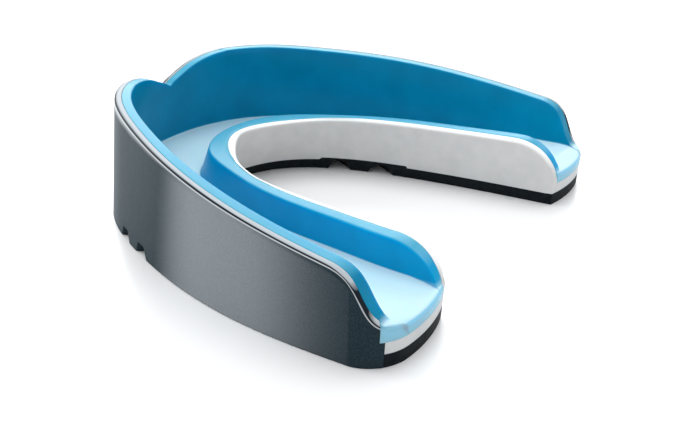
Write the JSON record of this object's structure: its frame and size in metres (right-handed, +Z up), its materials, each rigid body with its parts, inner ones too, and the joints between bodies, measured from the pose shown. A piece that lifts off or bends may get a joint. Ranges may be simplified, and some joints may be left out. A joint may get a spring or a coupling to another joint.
{
  "type": "boil-and-bite mouthguard",
  "caption": "Horseshoe sports mouthguard: grey outer shell, white frame, blue gel tooth channel and black grooved sole.",
  "frame": {"origin": "centre of the footprint's bounding box, on the plane the sole stands on", "axes": "+X to the side across the symmetry plane, -Y towards the incisors, +Y towards the heels, +Z up out of the tooth channel"},
  "size_m": [0.0664, 0.0609, 0.018],
  "materials": {
    "shell": "dark grey pearl, satin gloss",
    "sole": "black satin rubber",
    "frame": "white, satin gloss",
    "gel": "clear blue gel rubber, glossy"
  },
  "bodies": {
    "root": {"outer_shell": "shell", "base_pad": "sole", "shock_frame": "frame", "gel_liner": "gel"}
  },
  "joints": []
}
